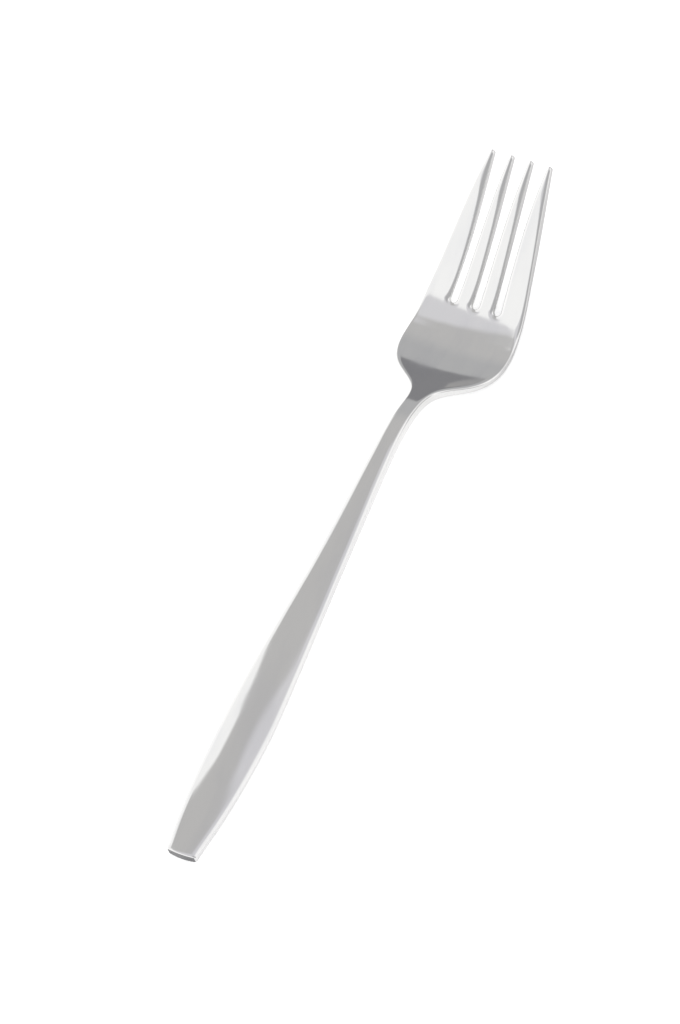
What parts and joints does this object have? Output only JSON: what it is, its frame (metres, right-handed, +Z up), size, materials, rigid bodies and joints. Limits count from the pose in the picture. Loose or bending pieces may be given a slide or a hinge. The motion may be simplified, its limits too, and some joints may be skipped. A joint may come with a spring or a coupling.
{
  "type": "dinner fork",
  "caption": "Dinner fork of polished stainless steel: slim handle widest near its end, narrow raised neck, dished palm and tapering upswept tines.",
  "frame": {"origin": "middle of the fork's length and width, on the surface it lies on", "axes": "+X along the fork from the end of the handle to the tine tips, +Y to its left, +Z up from the table, with the hollow of the head facing up"},
  "size_m": [0.1901, 0.0276, 0.0221],
  "materials": {
    "polished_steel": "polished stainless steel with fine lengthwise polishing lines"
  },
  "bodies": {
    "root": {"handle_end": "polished_steel", "stem": "polished_steel", "neck": "polished_steel", "palm": "polished_steel", "tine_1": "polished_steel", "tine_2": "polished_steel", "tine_3": "polished_steel", "tine_4": "polished_steel"}
  },
  "joints": []
}
